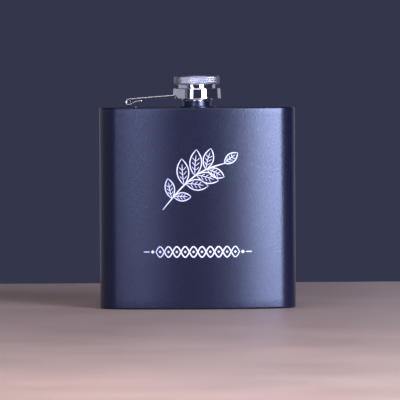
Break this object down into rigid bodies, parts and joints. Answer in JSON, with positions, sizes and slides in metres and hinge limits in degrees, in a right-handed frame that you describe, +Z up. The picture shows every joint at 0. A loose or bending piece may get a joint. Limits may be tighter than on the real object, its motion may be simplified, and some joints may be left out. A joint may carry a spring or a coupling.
{
  "type": "hip flask",
  "caption": "Bowed pocket flask of painted steel with a knurled screw cap held captive by a hinged arm and collar.",
  "frame": {"origin": "on the flat base, directly below the axis of the neck", "axes": "+Z up along the neck's axis, +X across the width away from the hinge, +Y from the bowed front face to the hollow back face"},
  "size_m": [0.094, 0.0276, 0.1115],
  "materials": {
    "navy_powder_coat": "matte fine-textured powder coat",
    "spout_steel": "turned, satin",
    "polished_steel": "mirror polished",
    "hinge_steel": "satin",
    "spring_steel": "bright",
    "silicone": "soft, translucent white"
  },
  "bodies": {
    "flask": {"body_wrap": "navy_powder_coat", "top_plate": "navy_powder_coat", "bottom_plate": "navy_powder_coat", "neck_flange": "navy_powder_coat", "neck_spout": "spout_steel", "hinge_bracket": "navy_powder_coat", "hinge_pin": "hinge_steel"},
    "arm": {"hinge_arm": "polished_steel"},
    "cap_ring": {"retaining_ring": "spring_steel"},
    "cap": {"cap_head": "polished_steel", "cap_insert": "spout_steel", "cap_seal": "silicone"}
  },
  "joints": [
    {"name": "arm_swing", "type": "hinge", "parent": "flask", "child": "arm", "pos_m": [-0.0325, 0, 0.0992], "axis": [0, -1, 0], "range_deg": [0, 170]},
    {"name": "cap_rise", "type": "slide", "parent": "arm", "child": "cap_ring", "axis": [0, 0, 1], "range_m": [0, 0.003]},
    {"name": "cap_turn", "type": "hinge", "parent": "cap_ring", "child": "cap", "pos_m": [0, 0, 0.1054], "axis": [0, 0, 1], "range_deg": [0, 720]}
  ],
  "couplings": [
    {"joint": "cap_turn", "follows": "cap_rise", "rad_per_m": 4188.8}
  ]
}
